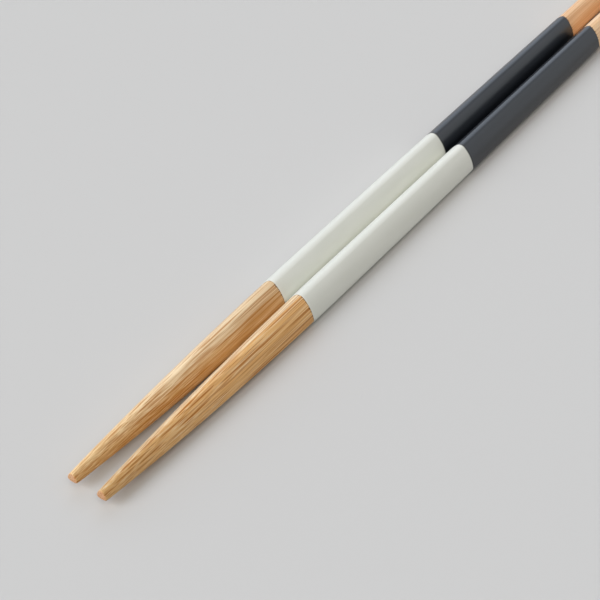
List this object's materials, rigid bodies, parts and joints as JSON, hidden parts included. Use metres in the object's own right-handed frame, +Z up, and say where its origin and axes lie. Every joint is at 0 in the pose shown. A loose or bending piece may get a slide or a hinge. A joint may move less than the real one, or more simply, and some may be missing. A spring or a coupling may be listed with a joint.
{
  "type": "pair of cooking chopsticks",
  "caption": "Pair of long bamboo cooking chopsticks of soft three-cornered section, tapering to blunt tips, with off-white and charcoal lacquered bands.",
  "frame": {"origin": "on the surface the pair lies on, under the middle of the pair", "axes": "+X from the tips to the handle ends, +Y from the right stick to the left one, +Z up"},
  "size_m": [0.33, 0.0198, 0.0096],
  "materials": {
    "bamboo": "satin"
  },
  "bodies": {
    "root": {"left_chopstick": "bamboo", "right_chopstick": "bamboo"}
  },
  "joints": []
}
